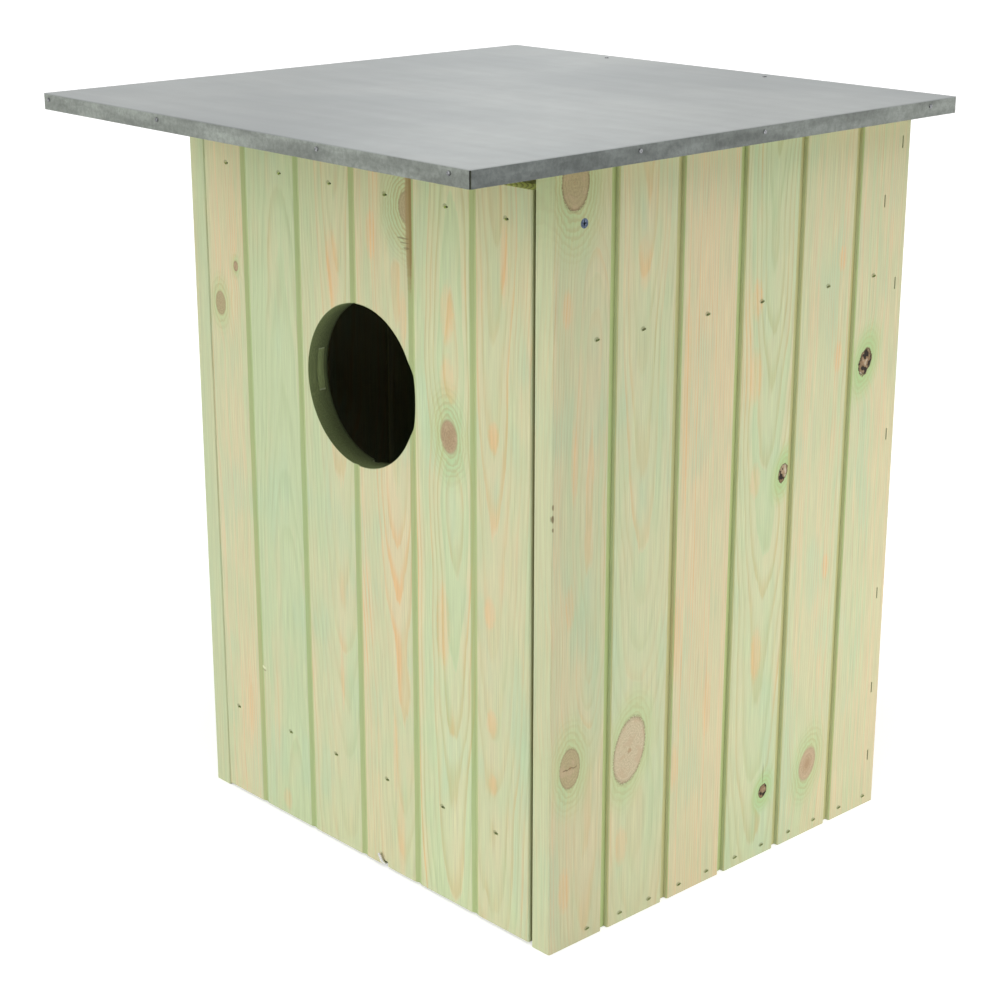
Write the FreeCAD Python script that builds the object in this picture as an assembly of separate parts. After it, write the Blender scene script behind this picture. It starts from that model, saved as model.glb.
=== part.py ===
import FreeCAD, Part
import math
import os

# Owl nest box: a tongue-and-groove board box with a swinging front and a zinc roof.
# Millimetres. +Z up, the front faces -Y, the origin is the middle of the underside of the box.

Vector = FreeCAD.Vector
X_AXIS = Vector(1, 0, 0)
Y_AXIS = Vector(0, 1, 0)
Z_AXIS = Vector(0, 0, 1)

# Board section
board_cover = 62.0
board_thickness = 17.5
channel_width = 6.5
channel_depth = 3.5
tongue_thickness = 5.5
tongue_reach = 10.5
slot_bottom_room = 0.5
joint_clearance = 0.15
arris = 0.8
bevel_width = 3.75
bevel_depth = 1.3

# Board counts and the ripped outer boards of each panel
whole_boards = 4
door_first_board = 47.85
door_last_board = 55.65
side_first_board = 51.25
side_last_board = 60.75
back_whole_boards = 5

# Box and door
box_height = 550.0
door_gap_left = 0.5
door_gap_right = 3.0
door_bottom_gap = 2.0
door_top_gap = 19.0
floor_gap = 1.5
entrance_diameter = 118.0
entrance_x = 0.7
entrance_height = 370.0

# Battens
batten_thickness = 17.5
batten_height = 40.0
door_top_batten_drop = 21.5
door_bottom_batten_level = 74.0
side_batten_drop = 118.0
back_batten_drop = 64.0
batten_end_gap = 4.0

# Roof
roof_front_overhang = 101.0
roof_side_overhang = 34.0
roof_back_overhang = 5.5
deck_thickness = 11.0
sheet_thickness = 0.6
sheet_seam = 1.0
fold_radius = 1.0

# Pivot screws
pivot_radius = 2.0
pivot_head_radius = 3.3
pivot_head_height = 1.8
pivot_bite = 19.5
pivot_recess_width = 0.9
pivot_recess_length = 3.4
pivot_recess_depth = 1.4
running_clearance = 0.05

# Latch hook and the notch that it stands in
hook_radius = 1.25
hook_bend_radius = 2.6
hook_x = 18.5
hook_level = 4.0
hook_arm = 8.6
hook_lean = 35.0
hook_bite = 22.0
hook_door_gap = 0.5
notch_width = 7.0
notch_room = 0.7

# Fasteners
fastener_clearance = 0.02
hole_end_room = 1.0
brad_width = 1.9
brad_depth = 1.3
brad_length = 30.0
brad_sink = 1.3
brad_mouth_width = 4.2
brad_mouth_height = 2.2
staple_crown = 8.9
staple_wire = 1.2
staple_leg = 30.0
staple_sink = 0.7
sheet_nail_head_radius = 1.5
sheet_nail_head_height = 0.6
sheet_nail_radius = 0.8
sheet_nail_length = 18.0
roof_nail_head_radius = 1.6
roof_nail_head_height = 0.6
roof_nail_radius = 1.0
roof_nail_length = 45.0
nail_rim = 0.25

# Fastener places: how far each brad stands from the middle of its board's face
door_top_brad_shift = (3.7, 12.2, 7.2, 5.2, 5.2, 4.5)
door_bottom_brad_shift = (-7.3, 5.2, -0.8, -2.8, -2.8, -5.5)
side_brad_shift = (13.8, -2.9, -1.9, -7.9, 2.1, -7.2)
floor_brad_level = 7.0
floor_brad_spread = 15.0
floor_brad_first = 37.5
back_floor_brad_level = 12.0
back_staple_levels = (42.0, 100.0, 179.0, 307.0)
back_staple_drops = (127.0, 23.0)
sheet_nail_rise = 7.3
sheet_nail_left_inset = 6.5
sheet_nail_right_inset = 18.5
sheet_nail_middle_x = (-86.0, 87.5)
side_sheet_nail_depths = (40.0, 157.0)
side_sheet_nail_back_inset = 25.0
roof_nail_x = (-105.5, 62.5)

# Screw holes that hang the box on a trunk or a wall
hanging_hole_radius = 3.5
hanging_hole_low = 120.0
hanging_hole_high = 430.0

# Places worked out from the sizes above
door_width = door_first_board + whole_boards * board_cover + door_last_board
inner_width = door_gap_left + door_width + door_gap_right
half_inner = inner_width / 2
half_width = half_inner + board_thickness
box_depth = side_first_board + whole_boards * board_cover + side_last_board
front = -box_depth / 2
back = box_depth / 2
door_left = -half_inner + door_gap_left
door_top = box_height - door_top_gap
door_inside = front + board_thickness
back_inside = back - board_thickness
pivot_y = door_inside + batten_thickness / 2
pivot_level = door_top - door_top_batten_drop
side_batten_level = box_height - side_batten_drop
back_batten_level = box_height - back_batten_drop
floor_front = door_inside + floor_gap
back_outer_board = (inner_width - back_whole_boards * board_cover) / 2
tongue_back = channel_depth + tongue_thickness

parts = {}
pockets = []


def box_between(low, high):
    """A block with the given lowest and highest corners."""
    size = high - low
    return Part.makeBox(size.x, size.y, size.z, low)


def board_lines(start, first, count, last):
    """Where a panel's boards begin and end along its width."""
    lines = [start, start + first]
    for _ in range(count):
        lines.append(lines[-1] + board_cover)
    lines.append(lines[-1] + last)
    return lines


def board_section(left, right, has_slot, has_tongue):
    """Outline of one board: along the panel's width, then the depth below its channelled side."""
    points = []
    face_left = left + channel_width if has_slot else left
    points += [(face_left, arris), (face_left + arris, 0)]
    points += [(right - arris, 0), (right, arris)]
    if has_tongue:
        tip = right + tongue_reach
        points += [(right, channel_depth), (tip, channel_depth)]
        points += [(tip, tongue_back), (right, tongue_back)]
        points += [(right, board_thickness - bevel_depth), (right - bevel_width, board_thickness)]
    else:
        points += [(right, board_thickness - arris), (right - arris, board_thickness)]
    if has_slot:
        shoulder = left + joint_clearance
        slot_end = left + tongue_reach + slot_bottom_room
        points += [(left + bevel_width, board_thickness), (shoulder, board_thickness - bevel_depth)]
        points += [(shoulder, tongue_back + joint_clearance), (slot_end, tongue_back + joint_clearance)]
        points += [(slot_end, channel_depth - joint_clearance), (face_left, channel_depth - joint_clearance)]
    else:
        points += [(left + arris, board_thickness), (left, board_thickness - arris)]
    return points


def add_panel(name, lines, corner, across, inward, along):
    """Boards side by side: across the panel, inward from their channelled side, each running along."""
    count = len(lines) - 1
    for index in range(count):
        section = board_section(lines[index], lines[index + 1], index > 0, index < count - 1)
        points = [corner + across * u + inward * d for u, d in section]
        face = Part.Face(Part.makePolygon(points + points[:1]))
        parts[f"{name}_board_{index + 1}"] = face.extrude(along)


def face_middles(lines, joint_width):
    """Middle of each board's visible face, with the width that each joint takes from the next board."""
    middles = []
    for index in range(len(lines) - 1):
        begin = lines[index] + (joint_width if index > 0 else 0)
        middles.append((begin + lines[index + 1]) / 2)
    return middles


def fastener_frame(inward, crown):
    """Turns +Z to the driving direction and +X to the crown's direction."""
    side = inward.cross(crown)
    return FreeCAD.Placement(FreeCAD.Matrix(
        crown.x, side.x, inward.x, 0,
        crown.y, side.y, inward.y, 0,
        crown.z, side.z, inward.z, 0,
        0, 0, 0, 1))


def placed(shape, point, inward, crown):
    """A fastener drawn along +Z, driven inward at a point of a face."""
    result = shape.copy()
    result.Placement = FreeCAD.Placement(point, FreeCAD.Rotation()).multiply(fastener_frame(inward, crown))
    return result


def brad(room=0.0):
    """Headless brad sunk below the face; with room, the pocket and torn mouth that it leaves."""
    low = Vector(-brad_width / 2 - room, -brad_depth / 2 - room, brad_sink)
    shank = box_between(low, Vector(brad_width / 2 + room, brad_depth / 2 + room, brad_length + room))
    if not room:
        return shank
    half_w = brad_mouth_width / 2
    half_h = brad_mouth_height / 2
    outline = [
        (-half_w, half_h / 4), (-half_w / 2, half_h), (half_w, half_h / 2),
        (half_w, -half_h / 2), (0, -half_h)]
    points = [Vector(x, y, 0) for x, y in outline + outline[:1]]
    mouth = Part.Face(Part.makePolygon(points)).extrude(Z_AXIS * brad_sink)
    return mouth.fuse(shank)


def staple(room=0.0):
    """Staple with its crown below the face; with room, the pocket that it leaves."""
    top = 0.0 if room else staple_sink
    half = staple_crown / 2 + room
    thick = staple_wire / 2 + room
    crown_end = staple_sink + staple_wire + room
    shape = box_between(Vector(-half, -thick, top), Vector(half, thick, crown_end))
    for side in (-1, 1):
        middle = side * (staple_crown - staple_wire) / 2
        low = Vector(middle - thick, -thick, top)
        shape = shape.fuse(box_between(low, Vector(middle + thick, thick, staple_leg + room)))
    return shape.removeSplitter()


def round_nail(head_radius, head_height, radius, length, room=0.0):
    """Flat-headed nail whose head lies on the face; with room, the hole for its shank."""
    shank = Part.makeCylinder(radius + room, length + room)
    if room:
        return shank
    head = Part.makeCylinder(head_radius, head_height, Vector(0, 0, -head_height))
    rims = [edge for edge in head.Edges if edge.BoundBox.ZMax < -head_height / 2]
    head = head.makeFillet(nail_rim, rims)
    return shank.fuse(head).removeSplitter()


def add_fasteners(name, shape, pocket, places):
    """One node of alike fasteners, and the pockets that they leave in the wood."""
    parts[name] = Part.makeCompound([placed(shape, *place) for place in places])
    pockets.extend(placed(pocket, *place) for place in places)


# Panels
door_lines = board_lines(door_left, door_first_board, whole_boards, door_last_board)
side_lines = board_lines(0, side_first_board, whole_boards, side_last_board)
back_lines = board_lines(-half_inner, back_outer_board, back_whole_boards, back_outer_board)
floor_last_board = side_last_board - board_thickness - floor_gap - board_thickness
floor_lines = board_lines(floor_front, side_first_board, whole_boards, floor_last_board)

door_rise = Z_AXIS * (door_top - door_bottom_gap)
# The door's boards are turned: their bevelled side shows, and their channels face the nest
add_panel("door", door_lines, Vector(0, door_inside, door_bottom_gap), X_AXIS, -Y_AXIS, door_rise)
for side_name, sign in (("right_side", 1), ("left_side", -1)):
    corner = Vector(sign * half_width, front, 0)
    add_panel(side_name, side_lines, corner, Y_AXIS, X_AXIS * -sign, Z_AXIS * box_height)
add_panel("back", back_lines, Vector(0, back, 0), X_AXIS, -Y_AXIS, Z_AXIS * box_height)
floor_corner = Vector(-half_inner, 0, board_thickness)
add_panel("floor", floor_lines, floor_corner, Y_AXIS, -Z_AXIS, X_AXIS * inner_width)

# Battens
half_batten = batten_height / 2
door_right = door_left + door_width
for name, level in (("door_top_batten", pivot_level), ("door_bottom_batten", door_bottom_batten_level)):
    low = Vector(door_left, door_inside, level - half_batten)
    parts[name] = box_between(low, Vector(door_right, door_inside + batten_thickness, level + half_batten))
for side_name, sign in (("right_side", 1), ("left_side", -1)):
    inner = sign * half_inner
    reach = inner - sign * batten_thickness
    low = Vector(min(inner, reach), door_inside + batten_end_gap, side_batten_level - half_batten)
    high = Vector(max(inner, reach), back_inside, side_batten_level + half_batten)
    parts[f"{side_name}_batten"] = box_between(low, high)
low = Vector(-half_inner, back_inside - batten_thickness, back_batten_level - half_batten)
parts["back_batten"] = box_between(low, Vector(half_inner, back_inside, back_batten_level + half_batten))

# Entrance hole through the door, and hanging holes through the back
through = board_thickness * 3
entrance = Part.makeCylinder(
    entrance_diameter / 2, through, Vector(entrance_x, front - board_thickness, entrance_height), Y_AXIS)
hanging_holes = [
    Part.makeCylinder(hanging_hole_radius, through, Vector(0, back_inside - board_thickness, level), Y_AXIS)
    for level in (hanging_hole_low, hanging_hole_high)]
pockets.append(entrance)
pockets.extend(hanging_holes)

# Notch in the door's bottom edge round the latch hook
notch_top = hook_level + hook_radius + notch_room
pockets.append(box_between(
    Vector(hook_x - notch_width / 2, front - hole_end_room, 0),
    Vector(hook_x + notch_width / 2, door_inside + hole_end_room, notch_top)))

# Latch hook: a bent wire screwed into the floor's front edge
arm_y = front - hook_door_gap - hook_radius
bend_y = arm_y + hook_bend_radius
bend_level = hook_level + hook_bend_radius
hook_start = Vector(hook_x, floor_front + hook_bite, hook_level)
bend_start = Vector(hook_x, bend_y, hook_level)
bend_half_way = hook_bend_radius * math.sqrt(0.5)
bend_middle = Vector(hook_x, bend_y - bend_half_way, bend_level - bend_half_way)
bend_end = Vector(hook_x, arm_y, bend_level)
hook_end = Vector(hook_x, arm_y, hook_level + hook_arm)
hook_path = Part.Wire([
    Part.LineSegment(hook_start, bend_start).toShape(),
    Part.Arc(bend_start, bend_middle, bend_end).toShape(),
    Part.LineSegment(bend_end, hook_end).toShape()])
hook_circle = Part.Face(Part.Wire(Part.Circle(hook_start, Y_AXIS, hook_radius).toShape()))
hook = hook_path.makePipe(hook_circle)
hook.rotate(hook_start, Y_AXIS, -hook_lean)
parts["latch_hook"] = hook
hook_hole_mouth = Vector(hook_x, floor_front, hook_level)
pockets.append(Part.makeCylinder(
    hook_radius + running_clearance, hook_bite + hole_end_room, hook_hole_mouth, Y_AXIS))

# Pivot screws, one through each side into the ends of the door's top batten
for side_name, sign, door_gap in (("right", 1, door_gap_right), ("left", -1, door_gap_left)):
    length = board_thickness + door_gap + pivot_bite
    screw = Part.makeCylinder(pivot_radius, length)
    cone = Part.makeCone(pivot_head_radius, pivot_radius, pivot_head_height)
    screw = screw.fuse(cone).removeSplitter()
    for size in ((pivot_recess_length, pivot_recess_width), (pivot_recess_width, pivot_recess_length)):
        arm = Part.makeBox(size[0], size[1], pivot_recess_depth, Vector(-size[0] / 2, -size[1] / 2, 0))
        screw = screw.cut(arm)
    hole = Part.makeCylinder(pivot_radius + running_clearance, length + hole_end_room)
    sink_radius = pivot_head_radius + running_clearance
    sink = Part.makeCone(sink_radius, pivot_radius + running_clearance, pivot_head_height + running_clearance)
    place = (Vector(sign * half_width, pivot_y, pivot_level), X_AXIS * -sign, Y_AXIS)
    parts[f"{side_name}_pivot_screw"] = placed(screw, *place)
    pockets.append(placed(hole.fuse(sink), *place))

# Brads and staples
brad_pocket = brad(fastener_clearance)
staple_pocket = staple(fastener_clearance)
door_middles = face_middles(door_lines, 0)
side_middles = face_middles(side_lines, channel_width)
door_places = []
for level, shifts in ((pivot_level, door_top_brad_shift), (door_bottom_batten_level, door_bottom_brad_shift)):
    for middle, shift in zip(door_middles, shifts):
        door_places.append((Vector(middle + shift, front, level), Y_AXIS, X_AXIS))
add_fasteners("door_brads", brad(), brad_pocket, door_places)

back_places = []
for middle in face_middles(back_lines, channel_width):
    for level in (back_floor_brad_level, back_batten_level):
        back_places.append((Vector(middle, back, level), -Y_AXIS, X_AXIS))
add_fasteners("back_brads", brad(), brad_pocket, back_places)

floor_brad_depths = [floor_brad_first]
for middle in side_middles[1:]:
    floor_brad_depths += [middle - floor_brad_spread, middle + floor_brad_spread]
back_edge = back - board_thickness / 2
batten_end = back_inside - batten_thickness / 2
for side_name, sign in (("right", 1), ("left", -1)):
    outside = sign * half_width
    inward = X_AXIS * -sign
    brad_places = []
    for middle, shift in zip(side_middles, side_brad_shift):
        brad_places.append((Vector(outside, front + middle + shift, side_batten_level), inward, Y_AXIS))
    add_fasteners(f"{side_name}_side_brads", brad(), brad_pocket, brad_places)
    floor_places = []
    for depth in floor_brad_depths:
        floor_places.append((Vector(outside, front + depth, floor_brad_level), inward, Y_AXIS))
    add_fasteners(f"{side_name}_floor_brads", brad(), brad_pocket, floor_places)
    edge_places = [(Vector(outside, batten_end, back_batten_level), inward, Z_AXIS)]
    for level in back_staple_levels + tuple(box_height - drop for drop in back_staple_drops):
        edge_places.append((Vector(outside, back_edge, level), inward, Z_AXIS))
    add_fasteners(f"{side_name}_back_staples", staple(), staple_pocket, edge_places)

# Roof: a wooden deck under a folded zinc sheet
deck_low = Vector(-half_width - roof_side_overhang, front - roof_front_overhang, box_height)
deck_high = Vector(half_width + roof_side_overhang, back + roof_back_overhang, box_height + deck_thickness)
fold = Vector(sheet_thickness, sheet_thickness, 0)
deck_low += fold
deck_high -= fold
parts["roof_deck"] = box_between(deck_low, deck_high)
sheet_low = deck_low - fold
sheet_high = deck_high + fold + Z_AXIS * sheet_thickness
sheet = box_between(sheet_low, sheet_high)
top_edges = [edge for edge in sheet.Edges if edge.BoundBox.ZMin > sheet_high.z - sheet_thickness]
sheet = sheet.makeFillet(fold_radius, top_edges).cut(parts["roof_deck"])
seam = Vector(sheet_seam, sheet_seam, deck_thickness)
for x in (sheet_low.x, sheet_high.x - sheet_seam):
    for y in (sheet_low.y, sheet_high.y - sheet_seam):
        corner = Vector(x, y, sheet_low.z)
        sheet = sheet.cut(box_between(corner, corner + seam))
parts["roof_sheet"] = sheet

# Roof nails: small ones through the folded edges, larger ones down into the back panel
sheet_nail = (sheet_nail_head_radius, sheet_nail_head_height, sheet_nail_radius, sheet_nail_length)
roof_nail = (roof_nail_head_radius, roof_nail_head_height, roof_nail_radius, roof_nail_length)
nail_level = box_height + sheet_nail_rise
sheet_places = []
nail_row = (sheet_low.x + sheet_nail_left_inset, *sheet_nail_middle_x, sheet_high.x - sheet_nail_right_inset)
for x in nail_row:
    sheet_places.append((Vector(x, sheet_low.y, nail_level), Y_AXIS, X_AXIS))
    sheet_places.append((Vector(-x, sheet_high.y, nail_level), -Y_AXIS, X_AXIS))
for depth in (*side_sheet_nail_depths, box_depth - side_sheet_nail_back_inset):
    sheet_places.append((Vector(sheet_high.x, front + depth, nail_level), -X_AXIS, Y_AXIS))
    sheet_places.append((Vector(sheet_low.x, front + depth, nail_level), X_AXIS, Y_AXIS))
add_fasteners(
    "roof_sheet_nails", round_nail(*sheet_nail), round_nail(*sheet_nail, running_clearance), sheet_places)
roof_places = [(Vector(x, back_edge, sheet_high.z), -Z_AXIS, X_AXIS) for x in roof_nail_x]
add_fasteners(
    "roof_fixing_nails", round_nail(*roof_nail), round_nail(*roof_nail, running_clearance), roof_places)

# Every hole, notch and fastener pocket is cut from the wood and the sheet that it reaches
fixings = ("brads", "staples", "nails", "screw", "hook")
for name in list(parts):
    if name.endswith(fixings):
        continue
    for pocket in pockets:
        if parts[name].BoundBox.intersect(pocket.BoundBox):
            parts[name] = parts[name].cut(pocket)

os.makedirs("parts", exist_ok=True)
for name, shape in parts.items():
    shape.exportStep(f"parts/{name}.step")
    state = "" if shape.isValid() and shape.Volume > 0 else "  BAD SHAPE"
    print(f"{name}: {len(shape.Solids)} solids, {shape.Volume:.1f} mm3{state}")
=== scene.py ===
import math
import random

import bpy
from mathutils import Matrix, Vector


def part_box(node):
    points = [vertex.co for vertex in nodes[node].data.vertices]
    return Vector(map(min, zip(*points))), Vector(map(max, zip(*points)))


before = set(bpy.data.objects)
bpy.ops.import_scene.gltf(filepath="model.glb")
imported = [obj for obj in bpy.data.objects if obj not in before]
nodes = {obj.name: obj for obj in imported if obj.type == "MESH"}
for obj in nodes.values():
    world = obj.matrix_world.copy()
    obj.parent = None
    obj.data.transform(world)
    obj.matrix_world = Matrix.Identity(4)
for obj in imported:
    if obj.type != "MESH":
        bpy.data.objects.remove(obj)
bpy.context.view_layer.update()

# Millimetres in a metre
MM = 1000.0

# Camera: metres, degrees and millimetres
CAMERA_PLACE = Vector((1.1395, -1.1020, 0.7640))
CAMERA_AZIMUTH = math.radians(47.16)
CAMERA_ELEVATION = math.radians(18.105)
SENSOR_WIDTH = 36.0
FOCAL_LENGTH = 77.43

# Wide suns: source, strength and spread in degrees
SUNS = {
    "front_lamp": ((-0.60, -0.85, 0.36), 1.66, 55.0),
    "side_lamp": ((0.75, -0.35, 1.30), 1.24, 60.0),
}

# A low soft lamp at the back of the right side: place, aim, size and watts
LOW_LAMP = ((0.75, 0.22, 0.06), (0.195, 0.02, 0.05), 0.45, 1.8)

# The world's even light, and the rays that see the world and the floor as white
AMBIENT = 0.40
WHITE = (1, 1, 1, 1)
SEEING_RAYS = ("Is Camera Ray", "Is Glossy Ray", "Is Transmission Ray")

# Floor: level and size in metres, colour, and lift to white
FLOOR_LEVEL = -0.0003
FLOOR_SIZE = 30.0
FLOOR_COLOUR = (0.76, 0.76, 0.76, 1)
FLOOR_LIFT = 0.48

# Wood colours, linear
PALE_GREEN = (0.570, 0.650, 0.400, 1)
PALE_TAN = (0.715, 0.635, 0.405, 1)
PEACH = (0.760, 0.520, 0.270, 1)
GRAIN_GREEN = (0.400, 0.490, 0.240, 1)
FLUSH_GREEN = (0.430, 0.610, 0.280, 1)
COOL_GREEN = (0.490, 0.640, 0.430, 1)
CHANNEL_GREEN = (0.430, 0.540, 0.220, 1)
CHANNEL_BROWN = (0.530, 0.510, 0.240, 1)
BEVEL_GREEN = (0.370, 0.470, 0.190, 1)
END_GREEN = (0.420, 0.480, 0.215, 1)
# The entrance wall's dark green is painted shade
HOLE_PAINTED_SHADE_GREEN = (0.232, 0.286, 0.126, 1)
BRAD_GREEN = (0.170, 0.190, 0.080, 1)
# Dark olive painted shade for the gaps beside the door
GAP_PAINTED_SHADE_OLIVE = (0.160, 0.150, 0.060, 1)
KNOT_PALE = (0.580, 0.495, 0.330, 1)
KNOT_TAN = (0.440, 0.370, 0.210, 1)
KNOT_PINK = (0.420, 0.310, 0.185, 1)
KNOT_DARK = (0.270, 0.175, 0.095, 1)
KNOT_ROSE = (0.530, 0.400, 0.260, 1)
KNOT_CORE = (0.400, 0.255, 0.140, 1)
KNOT_RIM = (0.150, 0.100, 0.045, 1)
KNOT_BLACK = (0.022, 0.016, 0.011, 1)
HALO_BROWN = (0.440, 0.370, 0.185, 1)
STRIPE_BROWN = (0.390, 0.285, 0.135, 1)
RESIN_BROWN = (0.300, 0.210, 0.085, 1)
RESIN_WHITE = (0.620, 0.560, 0.430, 1)
SPLINTER_PALE = (0.760, 0.780, 0.540, 1)

# Zinc colours, linear: the top, and the folds at the front and along the sides, which are painted shade:
# darker than the top, and darker still near the front of the sides
ZINC_DARK = (0.398, 0.423, 0.423, 1)
ZINC_LIGHT = (0.512, 0.535, 0.525, 1)
FOLD_FRONT = (0.274, 0.297, 0.268, 1)
FOLD_SIDE_NEAR = (0.172, 0.188, 0.180, 1)
FOLD_SIDE_FAR = (0.243, 0.262, 0.240, 1)

# Fasteners' metals: dark and bright colour, and lowest roughness
STEELS = {
    "sunk_steel": ((0.030, 0.035, 0.018, 1), (0.080, 0.085, 0.050, 1), 0.50),
    "nail_steel": ((0.10, 0.105, 0.11, 1), (0.42, 0.43, 0.44, 1), 0.35),
    "blue_zinc": ((0.035, 0.05, 0.08, 1), (0.17, 0.215, 0.29, 1), 0.34),
    "bright_zinc": ((0.52, 0.52, 0.50, 1), (0.82, 0.82, 0.80, 1), 0.22),
}

# Treatment in the recessed joints: strength and colour
GREEN_JOINT = (0.80, CHANNEL_GREEN)
BROWN_JOINT = (0.80, CHANNEL_BROWN)
DOOR_JOINT = (0.68, BEVEL_GREEN)
BATTEN_JOINT = (0.15, CHANNEL_GREEN)

# Boards whose channels are browner
BROWN_CHANNELS = (2, 4, 5)

# How dark the painted shade is on the boards' inner sides, standing in for the shade inside and under the
# box, and on the deck's edges, standing in for the shade in the sheet's seams, and how strong the painted
# light is that brightens the door's upper ends in the roof's shadow
INSIDE_PAINTED_SHADE = 0.50
DECK_EDGE_PAINTED_SHADE = 0.08
DOOR_TOP_PAINTED_LIGHT = 1.9

# Heights between which a board's end starts to count as its upper one, in millimetres
UPPER_END = (400.0, 450.0)

# How strongly the door's free edges are painted dark olive as shade for the gaps beside the door, and how
# far in from a side's free edge its inner side gets no painted shade
DOOR_GAP_PAINTED_SHADE = 0.70
SIDE_EDGE_COVER = 22.0

# Entrance hole, in millimetres, and the board whose tongue shows pale in its wall, where the wall's painted
# shade is lighter
HOLE_ACROSS = 0.7
HOLE_ALONG = 370.0
HOLE_RADIUS = 59.0
TONGUE_IN_HOLE = 2
TONGUE_SHADE = 1.9

# Brads: reach of one brad's vertices, width and height of its stain, in millimetres, and its strength
BRAD_REACH = 9.0
BRAD_STAIN_WIDTH = 4.8
BRAD_STAIN_HEIGHT = 3.6
BRAD_STAIN_STRENGTH = 0.5

# Seeds: the panels' and the battens' first, how many a panel takes, and the shifts for knots and noises
PANEL_SEED = 20
BATTEN_SEED = 90
SEEDS_PER_PANEL = 10
KNOT_SEED_SHIFT = 500
NOISE_SHIFT = 37.0

# How far round its peak a growth ring is blunt, and how wide the thin rings round a knot are, in millimetres
PEAK_BLUNTNESS = 20.0
HALO_RING_WIDTH = 2.6

# Dead knots are spotted and ragged with a strong green flush, and live ones are plain
DEAD_KNOT = {"spotted": True, "ragged": 1.1, "flush": 0.85}
LIVE_KNOT = {"spotted": False, "ragged": 0.12, "flush": 0.45}

# The left side's front board, whose edge shows beside the door, and how it looks
LEFT_FRONT_BOARD = "left_side_board_1"
LEFT_FRONT_LOOK = {"tone": 0.45, "light": 0.93}

# How each panel lies: axes across, into and along its boards, and the sign of into
LAYOUTS = {
    "door": (0, 1, 2, 1),
    "right_side": (1, 0, 2, -1),
    "left_side": (1, 0, 2, 1),
    "back": (0, 1, 2, -1),
    "floor": (1, 2, 0, -1),
}

# How the battens and the roof's deck lie
BATTEN_LAYOUTS = {
    "door_top_batten": (2, 1, 0, -1),
    "door_bottom_batten": (2, 1, 0, -1),
    "back_batten": (2, 1, 0, 1),
    "right_side_batten": (2, 0, 1, 1),
    "left_side_batten": (2, 0, 1, -1),
    "roof_deck": (1, 2, 0, 1),
}

# A board without knots, stains or flames, in the order that DRAWN_PANELS lists them
NO_MARKS = {"knots": (), "stains": (), "flames": ()}


class Graph:
    """Short calls that build the nodes of one material or world."""

    def __init__(self, owner):
        owner.use_nodes = True
        self.owner = owner
        self.tree = owner.node_tree
        self.tree.nodes.clear()

    def feed(self, socket, value):
        if isinstance(value, bpy.types.NodeSocket):
            self.tree.links.new(value, socket)
        else:
            socket.default_value = value

    def node(self, kind, inputs=None, **settings):
        made = self.tree.nodes.new(kind)
        for key, value in settings.items():
            setattr(made, key, value)
        for key, value in (inputs or {}).items():
            self.feed(made.inputs[key], value)
        return made

    def math(self, operation, *values, clamp=False):
        made = self.node("ShaderNodeMath", dict(enumerate(values)), operation=operation, use_clamp=clamp)
        return made.outputs[0]

    def add(self, first, *others):
        for other in others:
            first = self.math("ADD", first, other)
        return first

    def times(self, first, *others):
        for other in others:
            first = self.math("MULTIPLY", first, other)
        return first

    def most(self, first, *others):
        for other in others:
            first = self.math("MAXIMUM", first, other)
        return first

    def smooth(self, value, low, high, start=0.0, end=1.0):
        """Eases from start to end as value goes from low to high."""
        inputs = {"Value": value, "From Min": low, "From Max": high, "To Min": start, "To Max": end}
        return self.node("ShaderNodeMapRange", inputs, interpolation_type="SMOOTHSTEP").outputs[0]

    def mix(self, factor, first, second):
        made = self.node("ShaderNodeMix", {0: factor, 6: first, 7: second}, data_type="RGBA")
        return made.outputs[2]

    def shade(self, colour, factor):
        """A colour made darker or lighter by a factor."""
        if isinstance(colour, tuple):
            colour = colour[:3]
        made = self.node("ShaderNodeVectorMath", {0: colour, "Scale": factor}, operation="SCALE")
        return made.outputs[0]

    def vector(self, x, y, z):
        return self.node("ShaderNodeCombineXYZ", {0: x, 1: y, 2: z}).outputs[0]

    def split(self, vector):
        return self.node("ShaderNodeSeparateXYZ", {0: vector}).outputs

    def stretch(self, vector, scale):
        return self.node("ShaderNodeMapping", {"Vector": vector, "Scale": scale}).outputs[0]

    def noise(self, vector, scale, detail=2.0, roughness=0.5):
        inputs = {"Vector": vector, "Scale": scale, "Detail": detail, "Roughness": roughness}
        return self.node("ShaderNodeTexNoise", inputs).outputs[0]

    def swing(self, vector, scale, size, detail=2.0):
        """Noise between minus and plus half the size."""
        return self.times(self.add(self.noise(vector, scale, detail), -0.5), size)

    def seen(self):
        """1 for a ray that sees the background, and 0 for one that only brings light."""
        path = self.node("ShaderNodeLightPath")
        return self.most(*(path.outputs[ray] for ray in SEEING_RAYS))

    def surface(self, inputs, bumps=()):
        """Ends a material in a principled surface with bumps of (height, strength, distance)."""
        shader = self.node("ShaderNodeBsdfPrincipled", inputs)
        normal = None
        for height, strength, distance in bumps:
            relief = {"Height": height, "Strength": strength, "Distance": distance}
            bump = self.node("ShaderNodeBump", relief)
            if normal is not None:
                self.feed(bump.inputs["Normal"], normal)
            normal = bump.outputs[0]
        if normal is not None:
            self.feed(shader.inputs["Normal"], normal)
        self.node("ShaderNodeOutputMaterial", {"Surface": shader.outputs[0]})
        return self.owner


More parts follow.
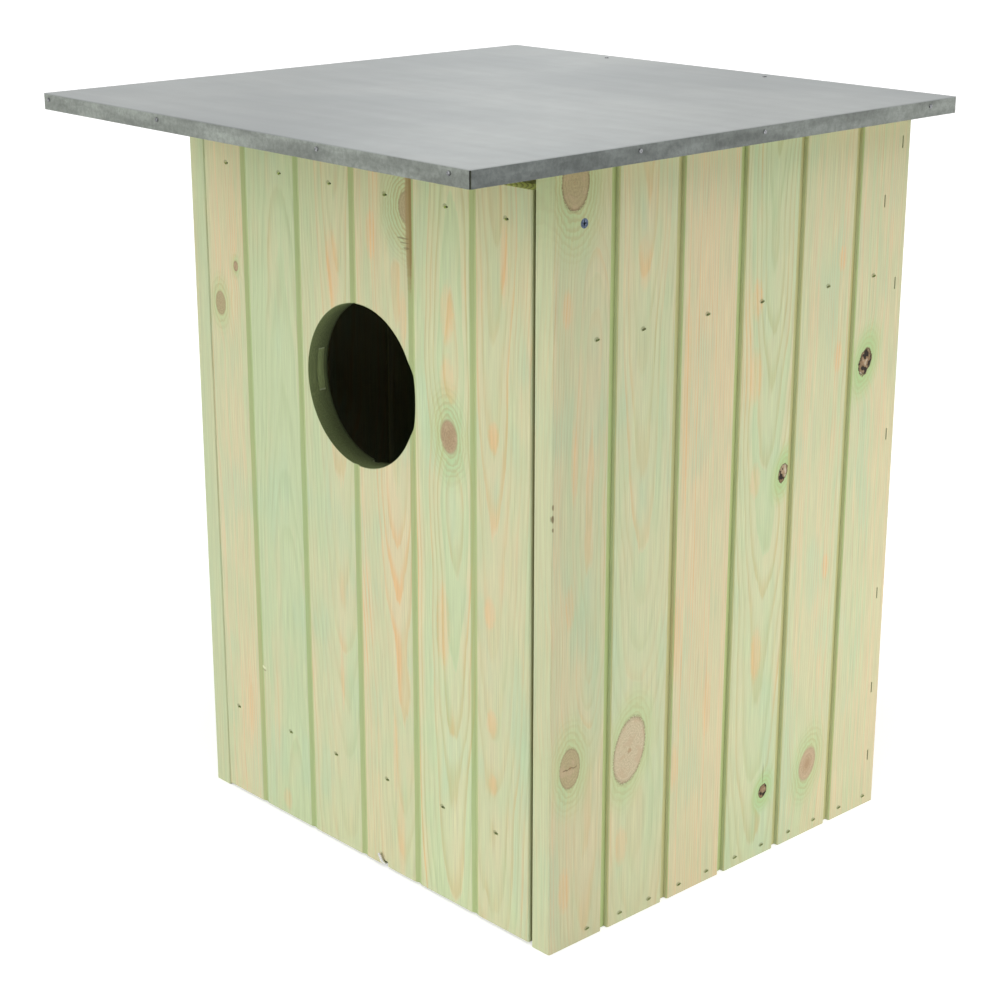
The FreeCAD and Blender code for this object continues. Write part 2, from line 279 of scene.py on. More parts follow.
class Board(Graph):
    """One board's material, with its places in millimetres and the noises that its layers share.

    layout names the axes across, into and along the board, and the sign of into.
    """

    def __init__(self, name, layout, origin, seed):
        super().__init__(bpy.data.materials.new(name))
        across_axis, into_axis, along_axis, into_sign = layout
        coordinates = self.node("ShaderNodeTexCoord")
        ends = {0: coordinates.outputs["Object"], 1: origin}
        moved = self.node("ShaderNodeVectorMath", ends, operation="SUBTRACT")
        place = self.split(self.shade(moved.outputs[0], MM))
        self.across = place[across_axis]
        self.into = self.times(place[into_axis], into_sign)
        self.along = place[along_axis]
        normal = self.split(coordinates.outputs["Normal"])
        self.faces_across = self.math("ABSOLUTE", normal[across_axis])
        self.faces_into = self.math("ABSOLUTE", normal[into_axis])
        self.faces_along = self.math("ABSOLUTE", normal[along_axis])
        self.shift = seed * NOISE_SHIFT
        self.shifted = self.add(self.across, self.shift)
        here = self.vector(self.across, self.into, self.along)
        self.rough_edge = self.swing(here, 0.30, 1.0, 3.0)
        self.grit = self.noise(here, 0.75, 3.0, 0.6)
        self.blot = self.noise(self.cell(), 0.21, 1.5, 0.5)
        self.patch = self.noise(self.cell(), 0.10, 2.0)
        self.fibre = self.noise(self.cell(along=0.012), 1.7, 3.0, 0.6)

    def cell(self, across=1.0, into=1.0, along=1.0):
        """The place in this board's own noises, scaled along each axis."""
        x = self.times(self.shifted, across)
        y = self.times(self.into, into)
        z = self.times(self.along, along)
        return self.vector(x, y, z)

    def ellipse(self, place):
        """Squared distance from a place, 1 on the edge of its half width and half height."""
        height = self.add(self.along, -place["along"])
        leaning = self.times(height, -place.get("tilt", 0.0))
        x = self.times(self.add(self.across, -place["across"], leaning), 1 / place["half_width"])
        z = self.times(height, 1 / place["half_height"])
        return self.add(self.times(x, x), self.times(z, z))


# Layers of a board's wood, which add their nodes to the Board called b
def growth_rings(b, grain, knots):
    """Late wood, a random number for each ring, and each knot with its squared distance."""
    # The pith wanders along the board, and the rings ripple a little
    sway = b.swing(b.vector(b.shift, 0.0, b.times(b.along, 0.0055)), 1.0, grain["sway"], 1.0)
    sway_in = b.swing(b.vector(0.0, b.shift, b.times(b.along, 0.0075)), 1.0, grain["sway"] * 0.6, 1.0)
    ripple = b.swing(b.cell(along=0.16), 0.11, grain["ripple"])
    fuzz = b.swing(b.cell(along=0.06), 0.55, 0.6)
    pith_across, pith_depth = grain["pith"]
    offset = b.add(b.across, -pith_across, sway)
    rise = b.add(b.along, -grain["peak"])
    rise = b.math("SQRT", b.add(b.times(rise, rise), PEAK_BLUNTNESS ** 2))
    depth = b.add(b.into, pith_depth, b.times(rise, grain["slope"]), sway_in)
    radius = b.math("SQRT", b.add(b.times(offset, offset), b.times(depth, depth)))
    radius = b.add(radius, ripple, fuzz)

    # Each knot bends the rings round it
    placed = []
    for knot in knots:
        distance = b.ellipse(knot)
        swirl = b.math("EXPONENT", b.times(distance, -1 / knot["reach"]))
        radius = b.add(radius, b.times(swirl, knot["push"]))
        placed.append((knot, b.add(distance, b.times(b.rough_edge, knot["ragged"]))))

    phase = b.times(radius, 1 / grain["spacing"])
    ring = b.math("FRACT", phase)
    ring_number = b.add(b.math("FLOOR", phase), b.shift)
    chance = b.node("ShaderNodeTexWhiteNoise", {"W": ring_number}, noise_dimensions="1D").outputs[0]
    late = b.times(b.smooth(ring, 0.38, 0.84), b.smooth(ring, 0.88, 1.0, 1.0, 0.0))
    return late, chance, placed


def wood_colour(b, grain, flames, late, chance):
    """Green sapwood that drifts into tan heartwood, with ring lines, warm flames and dark pores."""
    drift = b.swing(b.cell(0.030, 0.03, 0.0045), 1.0, 1.4)
    mottle = b.swing(b.cell(0.085, 0.05, 0.026), 1.0, 0.75)
    flame = b.times(b.smooth(b.noise(b.cell(0.055, 0.05, 0.0060), 1.0), 0.50, 0.70), 0.8)
    glow = 0.0
    for warm in flames:
        distance = b.add(b.ellipse(warm), b.times(b.rough_edge, 0.8))
        glow = b.most(glow, b.smooth(distance, 0.15, 1.25, 1.0, 0.0))
    flame = b.most(flame, glow)
    ring_tone = b.times(b.add(chance, -0.5), 0.45)
    tone = b.add(drift, mottle, grain["tone"], ring_tone, b.times(flame, 0.36))
    tone = b.math("ADD", tone, 0.0, clamp=True)
    colour = b.mix(tone, PALE_GREEN, PALE_TAN)
    cool = b.smooth(b.noise(b.cell(0.035, 0.03, 0.010), 1.0), 0.52, 0.68, 0.0, 0.42)
    colour = b.mix(cool, colour, COOL_GREEN)

    # Few rings have strong lines, and those in flames are the strongest
    rare = b.add(b.times(chance, chance, 0.65), 0.35)
    force = b.times(rare, b.add(flame, 0.74))
    lines = b.math("MULTIPLY", b.times(late, force), grain["contrast"], clamp=True)
    colour = b.mix(lines, colour, b.mix(tone, GRAIN_GREEN, PEACH))
    colour = b.mix(b.times(glow, b.smooth(b.fibre, 0.30, 0.60, 0.08, 0.36)), colour, PEACH)
    light = grain["light"]
    colour = b.shade(colour, b.smooth(b.fibre, 0.25, 0.75, 0.865 * light, 1.085 * light))
    pore = b.smooth(b.noise(b.cell(along=0.06), 1.3), 0.68, 0.80)
    return b.mix(b.times(pore, 0.20), colour, RESIN_BROWN)


def draw_knot(b, colour, knot, distance):
    """A green flush and thin rings round a knot, then its own rings, patches, core, spots, rim and crack."""
    tall = dict(knot, half_width=knot["half_width"] * 1.1, half_height=knot["half_height"] * 1.3)
    halo_spread = b.math("SQRT", b.ellipse(tall))
    halo = b.smooth(halo_spread, 0.8, knot["halo_reach"], 1.0, 0.0)
    colour = b.mix(b.times(halo, knot["flush"]), colour, FLUSH_GREEN)
    halo_phase = b.times(halo_spread, knot["half_width"] / HALO_RING_WIDTH)
    halo_phase = b.add(halo_phase, b.times(b.rough_edge, 0.7), b.times(b.patch, 1.5))
    halo_ring = b.math("FRACT", halo_phase)
    line = b.times(b.smooth(halo_ring, 0.25, 0.78), b.smooth(halo_ring, 0.84, 1.0, 1.0, 0.0))
    colour = b.mix(b.times(line, halo, knot["halo"]), colour, HALO_BROWN)

    spread = b.math("SQRT", b.most(distance, 0.0))
    ring = b.math("FRACT", b.add(b.times(spread, knot["rings"]), b.times(b.grit, 0.35)))
    body = b.shade(knot["colour"], b.smooth(ring, 0.2, 0.95, 1.03, 0.94))
    body = b.shade(body, b.smooth(b.grit, 0.3, 0.7, 0.87, 1.10))
    body = b.mix(b.smooth(b.patch, 0.48, 0.66, 0.0, 0.55), body, KNOT_ROSE)
    body = b.mix(b.smooth(spread, 0.0, knot["core"], 0.65, 0.0), body, KNOT_CORE)
    if knot["spotted"]:
        body = b.mix(b.smooth(b.blot, 0.48, 0.58), body, KNOT_BLACK)
        body = b.mix(b.smooth(b.blot, 0.33, 0.43, 0.75, 0.0), body, RESIN_WHITE)
        body = b.mix(b.smooth(distance, 0.50, 1.00, 0.0, 0.65), body, KNOT_BLACK)
    cover = b.smooth(distance, 0.94 - knot["soft"], 1.0 + knot["soft"], 1.0, 0.0)
    colour = b.mix(cover, colour, body)

    dots = b.smooth(b.grit, 0.40, 0.54)
    rim = b.times(b.smooth(distance, 0.74, 0.94), b.smooth(distance, 0.98, 1.16, 1.0, 0.0), dots)
    colour = b.mix(b.times(rim, knot["rim"]), colour, KNOT_RIM)
    if knot["crack"]:
        height = b.math("ABSOLUTE", b.add(b.along, -knot["along"], b.times(b.rough_edge, 3.0)))
        crack = b.times(b.smooth(height, 0.10, 0.55, 1.0, 0.0), b.smooth(distance, 0.30, 0.60, 1.0, 0.0))
        colour = b.mix(b.times(crack, knot["crack"]), colour, KNOT_RIM)
    return colour


def treat_edges(b, colour, joint, free_edges, edge_cover, gap_painted_shade):
    """Green edges, tinted joints and dark olive painted shade in the gaps, and where the inner side gets
    painted shade.
    """
    edge = b.smooth(b.faces_across, 0.5, 0.9, 0.0, 0.55)
    colour = b.mix(edge, colour, b.shade(PALE_GREEN, b.smooth(b.fibre, 0.25, 0.75, 0.92, 1.06)))
    strength, tint = joint
    flat = b.smooth(b.faces_into, 0.30, 0.80, 0.10, 1.0)
    recess = b.times(b.smooth(b.into, 0.03, 0.35), b.smooth(b.into, 13.0, 16.0, 1.0, 0.0), flat, strength)
    # The inner side, deeper than 15.5 mm, gets painted shade for the shade inside the box, except near a
    # side's free edge
    inside = b.smooth(b.into, 15.5, 17.0)
    for edge, side in free_edges:
        beyond = b.times(b.add(b.across, -edge), side)
        recess = b.times(recess, b.smooth(beyond, -3.0, -1.0, 1.0, 0.0))
        if edge_cover:
            inside = b.times(inside, b.smooth(beyond, -edge_cover, -edge_cover + 4.0, 1.0, 0.0))
        if gap_painted_shade:
            # Painted shade: the door's free edges turn dark olive where they face the gaps beside the side
            # panels
            gap = b.times(b.smooth(beyond, -1.2, -0.4), b.smooth(b.into, 1.0, 3.0), gap_painted_shade)
            colour = b.mix(gap, colour, GAP_PAINTED_SHADE_OLIVE)
    return b.mix(recess, colour, tint), inside


def draw_stains(b, colour, stains):
    """Stains and cracks on the outer face."""
    skin = b.smooth(b.into, 1.4, 2.6, 1.0, 0.0)
    for stain in stains:
        distance = b.add(b.ellipse(stain), b.times(b.rough_edge, 0.5))
        spot = b.times(b.smooth(distance, 0.3, 1.2, stain["strength"], 0.0), skin)
        colour = b.mix(spot, colour, stain["colour"])
    return colour


def cut_ends(b, colour, late, painted_top_light):
    """Green end grain with its rings, and painted light that lightens the upper end where painted_top_light
    says so.
    """
    end_colour = b.shade(END_GREEN, b.smooth(late, 0.0, 0.8, 1.10, 0.66))
    end_colour = b.shade(end_colour, b.smooth(b.grit, 0.3, 0.7, 0.88, 1.10))
    if painted_top_light > 1.0:
        end_colour = b.shade(end_colour, b.smooth(b.along, *UPPER_END, 1.0, painted_top_light))
    return b.mix(b.smooth(b.faces_along, 0.35, 0.85), colour, end_colour)


def entrance_wall(b, colour, hole):
    """The hole's sawn wall in dark green painted shade, darker towards the inside and at its foot."""
    bore = b.smooth(b.ellipse(hole), 1.001, 1.015, 1.0, 0.0)
    wall = b.shade(HOLE_PAINTED_SHADE_GREEN, b.smooth(b.fibre, 0.2, 0.8, 0.7, 1.3))
    wall = b.shade(wall, b.smooth(b.into, 0.0, 17.0, 1.15 * hole["shade"], 0.55 * hole["shade"]))
    foot = hole["along"] - hole["half_height"]
    wall = b.shade(wall, b.smooth(b.along, foot, hole["along"], 0.55, 1.0))
    return b.mix(bore, colour, wall)


def pine(name, layout, origin, grain, marks=NO_MARKS, joint=GREEN_JOINT, free_edges=(), hole=None,
         painted_edge_shade=1.0, edge_cover=0.0, gap_painted_shade=0.0, painted_top_light=1.0):
    """Pressure-treated pine of one board.

    grain holds the pith's place, the growth rings' slope and spacing, the tone and a seed.
    marks holds the board's knots, stains and warm flames.
    joint is the tint's strength and colour in the recessed joints, and free_edges belong to no joint.
    hole is the entrance's place and how light the painted shade on its wall is.
    painted_edge_shade darkens all edges with painted shade, and gap_painted_shade puts dark olive painted
    shade on the free ones.
    edge_cover is how far in from a free edge the inner side gets no painted shade.
    painted_top_light lightens the upper end with painted light.
    """
    b = Board(name, layout, origin, grain["seed"])
    late, chance, knots = growth_rings(b, grain, marks["knots"])
    colour = wood_colour(b, grain, marks["flames"], late, chance)
    for knot, distance in knots:
        colour = draw_knot(b, colour, knot, distance)
    colour, inside = treat_edges(b, colour, joint, free_edges, edge_cover, gap_painted_shade)
    colour = draw_stains(b, colour, marks["stains"])
    colour = cut_ends(b, colour, late, painted_top_light)
    if hole:
        colour = entrance_wall(b, colour, hole)
    # Painted shade on the inner side, for the shade inside and under the box
    colour = b.shade(colour, b.smooth(inside, 0.0, 1.0, 1.0, INSIDE_PAINTED_SHADE))
    # Painted shade on the edges, for the deck's edges in the shade of the sheet's seams
    if painted_edge_shade < 1.0:
        colour = b.shade(colour, b.smooth(b.faces_into, 0.3, 0.8, painted_edge_shade, 1.0))
    roughness = b.add(b.times(b.fibre, 0.16), b.smooth(late, 0.0, 1.0, 0.62, 0.52))
    inputs = {"Base Color": colour, "Roughness": roughness, "Specular IOR Level": 0.25}
    return b.surface(inputs, [(b.fibre, 0.25, 0.00025), (late, 0.25, 0.0002)])


def spot_of(across, along, width, height):
    """A place on a panel and its half sizes, in millimetres."""
    return {"across": across, "along": along, "half_width": width / 2, "half_height": height / 2}


def grain_of(seed, pith=(0.0, 32.0), slope=0.03, spacing=2.2, tone=0.45, contrast=0.60, sway=16.0,
             ripple=3.0, light=1.0, peak=0.0):
    """One board's growth rings, in millimetres; they are nearest to the pith at the height called peak."""
    return {"seed": seed, "pith": pith, "slope": slope, "spacing": spacing, "tone": tone,
            "contrast": contrast, "sway": sway, "ripple": ripple, "light": light, "peak": peak}


def knot_of(across, along, width, height, colour=KNOT_TAN, rim=0.4, push=6.0, reach=5.0, rings=5.0, core=0.1,
            tilt=0.0, halo=0.35, halo_reach=2.4, crack=0.0, soft=0.06):
    """One knot; a dark one is dead."""
    kind = DEAD_KNOT if colour == KNOT_DARK else LIVE_KNOT
    return {**spot_of(across, along, width, height), **kind, "colour": colour, "rim": rim, "push": push,
            "reach": reach, "rings": rings, "core": core, "tilt": tilt, "halo": halo,
            "halo_reach": halo_reach, "crack": crack, "soft": soft}


def stain_of(across, along, width, height, colour=RESIN_BROWN, strength=0.9):
    """One stain or crack."""
    return {**spot_of(across, along, width, height), "colour": colour, "strength": strength}


def flames_of(*places):
    """Warm patches of late wood from (across, along, width, height)."""
    return [spot_of(*place) for place in places]


# Grain and marks of the boards that face the camera
DOOR_GRAIN = {
    1: grain_of(1, pith=(-60.0, 40.0), slope=0.02, spacing=2.0, tone=0.60, contrast=0.60, sway=8.0),
    2: grain_of(2, pith=(4.0, 12.0), slope=0.050, spacing=3.4, tone=0.00, contrast=0.50, ripple=2.0),
    3: grain_of(3, pith=(8.0, 6.0), slope=0.060, spacing=3.2, tone=0.42, contrast=0.85, ripple=2.0,
                peak=600.0),
    4: grain_of(4, pith=(10.0, 14.0), slope=0.045, spacing=2.8, tone=0.58, contrast=0.85, ripple=2.0,
                peak=500.0),
    5: grain_of(5, pith=(5.0, 8.0), slope=0.060, spacing=3.6, tone=0.24, contrast=0.85, ripple=2.0,
                light=1.04, peak=353.0),
    6: grain_of(6, pith=(-8.0, 8.0), slope=0.050, spacing=3.4, tone=0.48, contrast=0.85, ripple=2.0,
                light=0.99, peak=600.0),
}
DOOR_KNOTS = {
    1: [knot_of(-142.4, 433.8, 5.5, 7.5, KNOT_PINK, 0.6, 4.0, 9.0, 2.0, 0.5),
        knot_of(-163.3, 402.7, 12.5, 18.0, KNOT_TAN, 0.2, soft=0.15)],
    4: [knot_of(57.0, 504.0, 24.0, 24.0, KNOT_TAN, 0.35, 10.0, 6.0, halo=0.70, halo_reach=3.2, soft=0.15)],
    5: [knot_of(94.5, 353.3, 17.0, 24.0, KNOT_PINK, 0.10, 8.0, 6.0, tilt=-0.05, halo=0.42, halo_reach=2.9,
                soft=0.25)],
}
DOOR_STAINS = {
    2: [stain_of(-126.5, 118.5, 8.0, 2.2, SPLINTER_PALE, 0.9),
        stain_of(-125.5, 116.4, 7.0, 1.2, KNOT_RIM, 0.45)],
    4: [stain_of(54.8, 505.0, 6.4, 124.0, STRIPE_BROWN, 0.85),
        stain_of(55.8, 500.0, 2.0, 110.0, RESIN_BROWN, 0.7),
        stain_of(49.0, 482.5, 13.0, 1.6, KNOT_RIM, 0.55),
        stain_of(50.5, 479.5, 10.0, 1.4, KNOT_RIM, 0.5),
        stain_of(52.5, 476.0, 6.0, 2.0, KNOT_RIM, 0.45)],
}
DOOR_FLAMES = {
    1: flames_of((-144, 80, 9, 52)),
    2: flames_of((-100, 15, 12, 20)),
    3: flames_of((-28, 450, 16, 60), (-27, 141, 5, 60)),
    4: flames_of((48, 427, 9, 44), (15, 480, 12, 36), (33, 96, 6, 80), (38, 37, 10, 66)),
    5: flames_of((93, 391, 17, 40), (93, 438, 15, 46), (87, 215, 15, 66)),
    6: flames_of((149, 482, 8, 62), (139, 362, 12, 24), (135, 237, 13, 26), (137, 156, 12, 24),
                 (138, 110, 11, 20)),
}
SIDE_GRAIN = {
    1: grain_of(11, pith=(4.0, 10.0), slope=0.05, spacing=2.2, tone=0.54, contrast=0.70, ripple=2.0,
                light=0.92, peak=330.0),
    2: grain_of(12, pith=(-4.0, 8.0), slope=0.055, spacing=3.2, tone=0.44, contrast=0.70, ripple=2.0,
                light=0.97, peak=600.0),
    3: grain_of(13, pith=(-70.0, 18.0), slope=0.01, spacing=2.4, tone=0.80, contrast=0.70, sway=8.0,
                ripple=1.5, light=0.97),
    4: grain_of(14, pith=(2.0, 8.0), slope=0.060, spacing=3.4, tone=0.22, contrast=0.80, ripple=2.0,
                peak=560.0),
    5: grain_of(15, pith=(45.0, 30.0), slope=0.02, spacing=2.0, tone=0.50, contrast=0.68, sway=10.0,
                ripple=2.0),
    6: grain_of(16, pith=(-50.0, 30.0), slope=0.02, spacing=2.0, tone=0.62, contrast=0.68, sway=10.0,
                ripple=2.0),
}
SIDE_KNOTS = {
    1: [knot_of(-161.9, 536.0, 24.0, 36.0, KNOT_TAN, 0.65, halo=0.45, halo_reach=2.8),
        knot_of(-161.6, 136.3, 19.5, 30.0, KNOT_TAN, 0.35, rings=7.0, crack=0.8)],
    2: [knot_of(-103.2, 132.2, 31.0, 49.0, KNOT_PALE, 0.50, 8.0, 3.0, 12.0, 0.14, tilt=0.15, halo=0.25,
                halo_reach=1.7)],
    4: [knot_of(51.5, 301.8, 9.5, 14.0, KNOT_DARK, 0.9, tilt=0.20, halo=0.28, halo_reach=3.2),
        knot_of(43.2, 52.7, 9.0, 11.0, KNOT_DARK, 0.9, tilt=0.15, halo=0.28, halo_reach=3.2)],
    5: [knot_of(95.1, 58.5, 19.0, 27.0, KNOT_ROSE, 0.12, 8.0, 5.0, 3.0, 0.75, tilt=0.17, soft=0.20)],
    6: [knot_of(140.3, 368.6, 14.5, 20.0, KNOT_DARK, 0.9, 8.0, 6.0, tilt=0.22, halo=0.28, halo_reach=2.8)],
}
SIDE_STAINS = {
    1: [stain_of(-179.2, 327.0, 1.4, 4.5, KNOT_RIM, 0.7),
        stain_of(-179.3, 319.0, 1.8, 6.0, KNOT_RIM, 0.8),
        stain_of(-179.2, 311.5, 1.3, 3.5, KNOT_RIM, 0.7)],
    4: [stain_of(43.0, 67.0, 1.0, 18.0, KNOT_RIM, 0.6)],
}
SIDE_FLAMES = {
    1: flames_of((-168, 456, 10, 28), (-160, 354, 7, 64), (-163, 253, 10, 34), (-166, 45, 12, 36)),
    2: flames_of((-97, 478, 14, 42), (-110, 60, 14, 32)),
    3: flames_of((-54, 374, 10, 170), (-57, 205, 9, 74), (-57, 104, 10, 40), (-24, 143, 10, 60)),
    4: flames_of((16, 434, 13, 32), (17, 379, 15, 44), (21, 302, 12, 28), (29, 167, 13, 46)),
    5: flames_of((108, 450, 10, 20), (108, 378, 11, 26), (105, 217, 10, 22)),
}
DRAWN_PANELS = {
    "door": (DOOR_GRAIN, DOOR_KNOTS, DOOR_STAINS, DOOR_FLAMES),
    "right_side": (SIDE_GRAIN, SIDE_KNOTS, SIDE_STAINS, SIDE_FLAMES),
}


def random_grain(seed):
    """Grain for a board that the photograph doesn't show."""
    draw = random.Random(seed)
    pith = (draw.uniform(-25, 25), draw.uniform(24, 48))
    return grain_of(seed, pith=pith, slope=draw.uniform(-0.05, 0.05), spacing=draw.uniform(2.0, 2.8),
                    tone=draw.uniform(0.1, 0.6), contrast=draw.uniform(0.5, 0.75))


def random_knots(seed, low, high):
    """None, one or two knots for a board that the photograph doesn't show."""
    draw = random.Random(seed + KNOT_SEED_SHIFT)
    made = []
    for _ in range(draw.choice((0, 1, 1, 2))):
        width = draw.uniform(9, 22)
        colour = draw.choice((KNOT_PALE, KNOT_TAN, KNOT_PINK, KNOT_DARK))
        if colour == KNOT_DARK:
            width *= 0.65
        across = draw.uniform(low + 14, high - 14)
        along = draw.uniform(60, 500)
        made.append(knot_of(across, along, width, width * 1.35, colour))
    return made


def panel_boards(panel):
    """The panel's CAD boards in order, with their numbers."""
    names = [name for name in nodes if name.startswith(f"{panel}_board_")]
    return sorted((int(name.rsplit("_", 1)[1]), name) for name in names)


def outer_face(name, layout):
    """The middle of a board's outer face, in metres, and half the board's width, in millimetres."""
    across_axis, into_axis, _, into_sign = layout
    low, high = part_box(name)
    origin = Vector((0, 0, 0))
    origin[into_axis] = low[into_axis] if into_sign > 0 else high[into_axis]
    origin[across_axis] = (low[across_axis] + high[across_axis]) / 2
    return origin, (high[across_axis] - low[across_axis]) / 2 * MM


def wear(name, material):
    """Gives a CAD node one material all over."""
    node = nodes[name]
    node.data.materials.clear()
    node.data.materials.append(material)


def brad_stains(panel, across_axis, low, high):
    """Small dark stains round the brads of one board, which lies between low and high."""
    spots = []
    for name in (f"{panel}_brads", panel.replace("side", "floor") + "_brads"):
        if name not in nodes:
            continue
        for vertex in nodes[name].data.vertices:
            across = vertex.co[across_axis] * MM
            along = vertex.co[2] * MM
            near = [spot for spot in spots if abs(spot[0] - across) + abs(spot[1] - along) < BRAD_REACH]
            if low < across < high and not near:
                spots.append((across, along))
    return [stain_of(across, along, BRAD_STAIN_WIDTH, BRAD_STAIN_HEIGHT, BRAD_GREEN, BRAD_STAIN_STRENGTH)
            for across, along in spots]


def moved_to(places, middle):
    """The same places, measured across from a board's middle."""
    return [dict(place, across=place["across"] - middle) for place in places]


def board_look(panel, number, name, seed, middle, half):
    """One board's grain, and its knots, stains and flames measured across from its middle."""
    if panel in DRAWN_PANELS:
        grains, *lists = DRAWN_PANELS[panel]
        places = [moved_to(each.get(number, []), middle) for each in lists]
        return grains[number], dict(zip(NO_MARKS, places))
    grain = random_grain(seed)
    if name == LEFT_FRONT_BOARD:
        grain.update(LEFT_FRONT_LOOK)
    knots = [] if panel == "floor" else random_knots(seed, -half, half)
    return grain, dict(NO_MARKS, knots=knots)


def board_treatment(panel, number, middle):
    """How one board's joints, edges, ends and hole are treated."""
    if panel == "door":
        hole = spot_of(HOLE_ACROSS - middle, HOLE_ALONG, HOLE_RADIUS * 2, HOLE_RADIUS * 2)
        hole["shade"] = TONGUE_SHADE if number == TONGUE_IN_HOLE else 1.0
        return {"joint": DOOR_JOINT, "hole": hole, "gap_painted_shade": DOOR_GAP_PAINTED_SHADE, "painted_top_light": DOOR_TOP_PAINTED_LIGHT}
    joint = BROWN_JOINT if number in BROWN_CHANNELS else GREEN_JOINT
    return {"joint": joint, "edge_cover": SIDE_EDGE_COVER if panel.endswith("side") else 0.0}


def paint_panels():
    """Every board of every panel."""
    for panel_number, (panel, layout) in enumerate(LAYOUTS.items()):
        across_axis = layout[0]
        boards = panel_boards(panel)
        for number, name in boards:
            origin, half = outer_face(name, layout)
            middle = origin[across_axis] * MM
            seed = PANEL_SEED + panel_number * SEEDS_PER_PANEL + number
            grain, marks = board_look(panel, number, name, seed, middle, half)
            if panel != "floor":
                stains = brad_stains(panel, across_axis, middle - half, middle + half)
                marks["stains"] = [*marks["stains"], *moved_to(stains, middle)]
            free_edges = []
            if number == 1:
                free_edges.append((-half, -1.0))
            if number == len(boards):
                free_edges.append((half, 1.0))
            treatment = board_treatment(panel, number, middle)
            wood = pine(f"pine_{name}", layout, origin, grain, marks, free_edges=free_edges, **treatment)
            wear(name, wood)


def paint_battens():
    """Battens and the roof's deck, sawn from the same wood."""
    for number, (name, layout) in enumerate(BATTEN_LAYOUTS.items()):
        origin, _ = outer_face(name, layout)
        # The deck's edges get painted shade for the shade in the sheet's seams
        painted_edge_shade = DECK_EDGE_PAINTED_SHADE if name == "roof_deck" else 1.0
        grain = random_grain(BATTEN_SEED + number)
        wear(name, pine(f"pine_{name}", layout, origin, grain, joint=BATTEN_JOINT, painted_edge_shade=painted_edge_shade))


def zinc():
    """Dull galvanised sheet: cloudy on top with a lighter band of painted sheen, and darker with painted
    shade and stained on the folded edges.
    """
    g = Graph(bpy.data.materials.new("zinc_sheet"))
    coordinates = g.node("ShaderNodeTexCoord")
    place = coordinates.outputs["Object"]
    x, y, _ = g.split(place)
    _, faces_back, faces_up = g.split(coordinates.outputs["Normal"])
    cloud = g.noise(place, 4.5, 4.0, 0.55)
    streak = g.noise(g.stretch(place, (7.0, 60.0, 30.0)), 1.0, 3.0, 0.6)
    bloom = g.noise(place, 70.0, 3.0, 0.6)
    top = g.mix(g.smooth(cloud, 0.30, 0.70), ZINC_DARK, ZINC_LIGHT)
    top = g.shade(top, g.smooth(streak, 0.25, 0.75, 0.965, 1.035))
    top = g.shade(top, g.smooth(bloom, 0.25, 0.75, 0.95, 1.05))
    # A lighter band along one diagonal of the top is painted sheen
    painted_sheen_offset = g.math("ABSOLUTE", g.add(x, y, 0.04))
    top = g.shade(top, g.smooth(painted_sheen_offset, 0.03, 0.26, 1.012, 0.845))
    dirt = g.noise(g.stretch(place, (16.0, 16.0, 60.0)), 1.0, 4.0, 0.62)
    speckle = g.noise(place, 260.0, 3.0, 0.7)
    # The folds are darker than the top as painted shade, and darker towards the front along the sides; the
    # dirt and speckle are stains
    fold = g.mix(g.smooth(y, -0.25, 0.18), FOLD_SIDE_NEAR, FOLD_SIDE_FAR)
    fold = g.mix(g.smooth(faces_back, -0.8, -0.3, 1.0, 0.0), fold, FOLD_FRONT)
    fold = g.shade(fold, g.smooth(dirt, 0.30, 0.70, 0.72, 1.24))
    fold = g.shade(fold, g.smooth(speckle, 0.35, 0.65, 0.88, 1.10))
    colour = g.mix(g.smooth(faces_up, 0.15, 0.75), fold, top)
    roughness = g.add(g.times(cloud, 0.14), g.smooth(bloom, 0.2, 0.8, 0.38, 0.46))
    inputs = {"Base Color": colour, "Metallic": 1.0, "Roughness": roughness}
    return g.surface(inputs, [(cloud, 0.08, 0.004), (streak, 0.05, 0.0004)])


def steel(name, dark, bright, roughness):
    """Fastener metal with small stains."""
    g = Graph(bpy.data.materials.new(name))
    place = g.node("ShaderNodeTexCoord").outputs["Object"]
    stain = g.noise(place, 900.0, 3.0, 0.6)
    colour = g.mix(g.smooth(stain, 0.3, 0.7), dark, bright)
    rough = g.smooth(stain, 0.2, 0.8, roughness, roughness + 0.15)
    inputs = {"Base Color": colour, "Metallic": 0.9, "Roughness": rough}
    return g.surface(inputs, [(stain, 0.15, 0.0002)])


def paint_metal():
    """Roof sheet, nails, brads, staples, screws and hook."""
    wear("roof_sheet", zinc())
    metals = {name: steel(name, *look) for name, look in STEELS.items()}
    for name in nodes:
        if name.endswith(("brads", "staples")):
            wear(name, metals["sunk_steel"])
        elif name.endswith("nails"):
            wear(name, metals["nail_steel"])
        elif name.endswith("screw"):
            wear(name, metals["blue_zinc"])
    wear("latch_hook", metals["bright_zinc"])


def white_world():
    """White to the camera and to mirrors, and a weaker even light for everything else."""
    world = bpy.data.worlds.new("studio")
    bpy.context.scene.world = world
    g = Graph(world)
    strength = g.node("ShaderNodeMapRange", {"Value": g.seen(), "To Min": AMBIENT, "To Max": 1.0})
    background = g.node("ShaderNodeBackground", {"Color": WHITE, "Strength": strength.outputs[0]})
    g.node("ShaderNodeOutputWorld", {"Surface": background.outputs[0]})


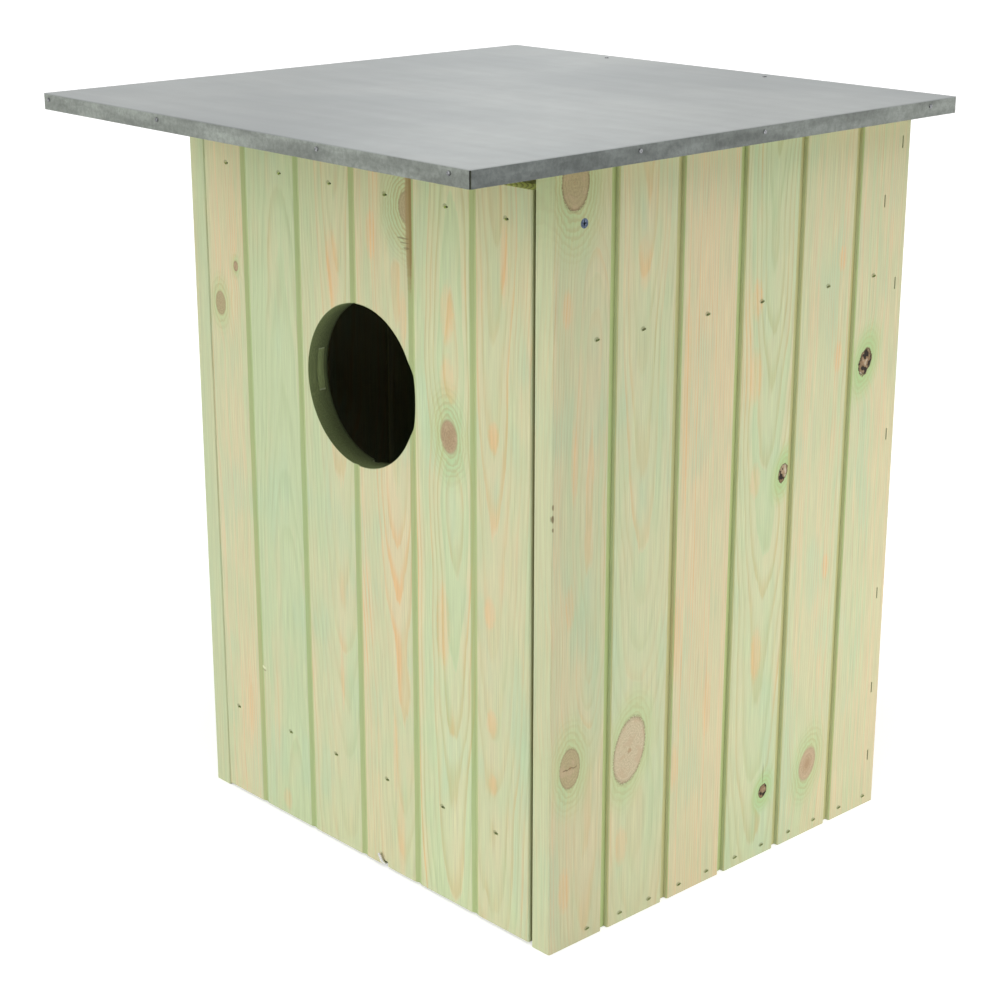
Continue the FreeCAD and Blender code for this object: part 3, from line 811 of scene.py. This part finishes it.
def pale_floor():
    """A floor that reads white and keeps the box's shadow."""
    bpy.ops.mesh.primitive_plane_add(size=FLOOR_SIZE, location=(0, 0, FLOOR_LEVEL))
    floor = bpy.context.object
    floor.name = "floor"
    g = Graph(bpy.data.materials.new("floor_white"))
    diffuse = g.node("ShaderNodeBsdfDiffuse", {"Color": FLOOR_COLOUR})
    glow = g.node("ShaderNodeEmission", {"Color": WHITE, "Strength": g.times(g.seen(), FLOOR_LIFT)})
    both = g.node("ShaderNodeAddShader", {0: diffuse.outputs[0], 1: glow.outputs[0]})
    g.node("ShaderNodeOutputMaterial", {"Surface": both.outputs[0]})
    floor.data.materials.append(g.owner)


def hang(data, place, direction):
    """Hangs a lamp, kept out of the metal's reflections."""
    lamp = bpy.data.objects.new(data.name, data)
    lamp.location = place
    lamp.rotation_euler = direction.to_track_quat("-Z", "Y").to_euler()
    lamp.visible_glossy = False
    bpy.context.scene.collection.objects.link(lamp)


def add_lamps():
    """Wide soft suns and one low lamp."""
    for name, (source, strength, spread) in SUNS.items():
        data = bpy.data.lights.new(name, "SUN")
        data.energy = strength
        data.angle = math.radians(spread)
        hang(data, (0, 0, 0), -Vector(source))
    place, aim, size, watts = LOW_LAMP
    data = bpy.data.lights.new("low_lamp", "AREA")
    data.energy = watts
    data.size = size
    hang(data, place, Vector(aim) - Vector(place))


def place_camera():
    """The photograph's view, with no shift."""
    data = bpy.data.cameras.new("camera")
    data.sensor_fit = "HORIZONTAL"
    data.sensor_width = SENSOR_WIDTH
    data.lens = FOCAL_LENGTH
    camera = bpy.data.objects.new("camera", data)
    camera.location = CAMERA_PLACE
    level = math.cos(CAMERA_ELEVATION)
    drop = math.sin(CAMERA_ELEVATION)
    aim = Vector((-level * math.sin(CAMERA_AZIMUTH), level * math.cos(CAMERA_AZIMUTH), -drop))
    camera.rotation_euler = aim.to_track_quat("-Z", "Y").to_euler()
    bpy.context.scene.collection.objects.link(camera)
    bpy.context.scene.camera = camera


paint_panels()
paint_battens()
paint_metal()
white_world()
pale_floor()
add_lamps()
place_camera()
bpy.context.scene.view_settings.view_transform = "Standard"
